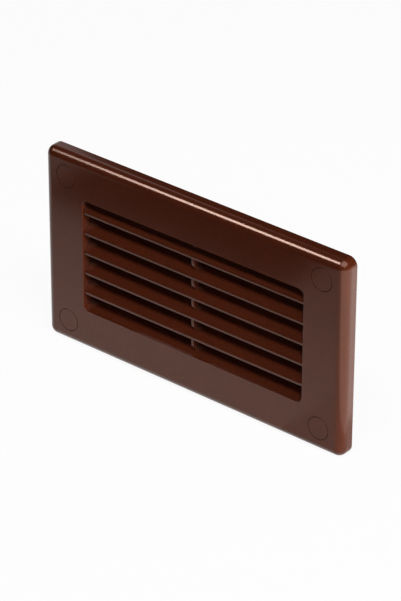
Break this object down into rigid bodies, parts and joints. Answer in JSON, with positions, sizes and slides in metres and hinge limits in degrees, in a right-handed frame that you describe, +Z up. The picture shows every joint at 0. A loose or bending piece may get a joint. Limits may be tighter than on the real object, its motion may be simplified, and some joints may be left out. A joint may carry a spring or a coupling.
{
  "type": "flat duct vent grille",
  "caption": "Rectangular wall grille for a 110 x 55 mm flat duct, with fixed sloping louvres, a centre rib, a rear collar and flush caps over its corner screws.",
  "frame": {"origin": "centre of the plate in the wall plane that its rim stands on", "axes": "+Y into the wall along the duct, +Z up, +X to the right as seen from the room; the face looks towards -Y"},
  "size_m": [0.14, 0.0246, 0.08],
  "materials": {
    "brown_plastic": "fine satin texture, moulded in colour",
    "zinc_steel": "zinc plated"
  },
  "bodies": {
    "grille": {"front_frame": "brown_plastic", "duct_collar": "brown_plastic", "louvre_blade_1": "brown_plastic", "louvre_blade_2": "brown_plastic", "louvre_blade_3": "brown_plastic", "louvre_blade_4": "brown_plastic", "louvre_blade_5": "brown_plastic", "bottom_sill": "brown_plastic", "centre_rib": "brown_plastic", "fixing_screw_top_left": "zinc_steel", "fixing_screw_top_right": "zinc_steel", "fixing_screw_bottom_left": "zinc_steel", "fixing_screw_bottom_right": "zinc_steel"},
    "cap_top_left": {"screw_cap_top_left": "brown_plastic"},
    "cap_top_right": {"screw_cap_top_right": "brown_plastic"},
    "cap_bottom_left": {"screw_cap_bottom_left": "brown_plastic"},
    "cap_bottom_right": {"screw_cap_bottom_right": "brown_plastic"}
  },
  "joints": [
    {"name": "cap_top_left_pull", "type": "slide", "parent": "grille", "child": "cap_top_left", "axis": [0, -1, 0], "range_m": [0, 0.015]},
    {"name": "cap_top_right_pull", "type": "slide", "parent": "grille", "child": "cap_top_right", "axis": [0, -1, 0], "range_m": [0, 0.015]},
    {"name": "cap_bottom_left_pull", "type": "slide", "parent": "grille", "child": "cap_bottom_left", "axis": [0, -1, 0], "range_m": [0, 0.015]},
    {"name": "cap_bottom_right_pull", "type": "slide", "parent": "grille", "child": "cap_bottom_right", "axis": [0, -1, 0], "range_m": [0, 0.015]}
  ]
}
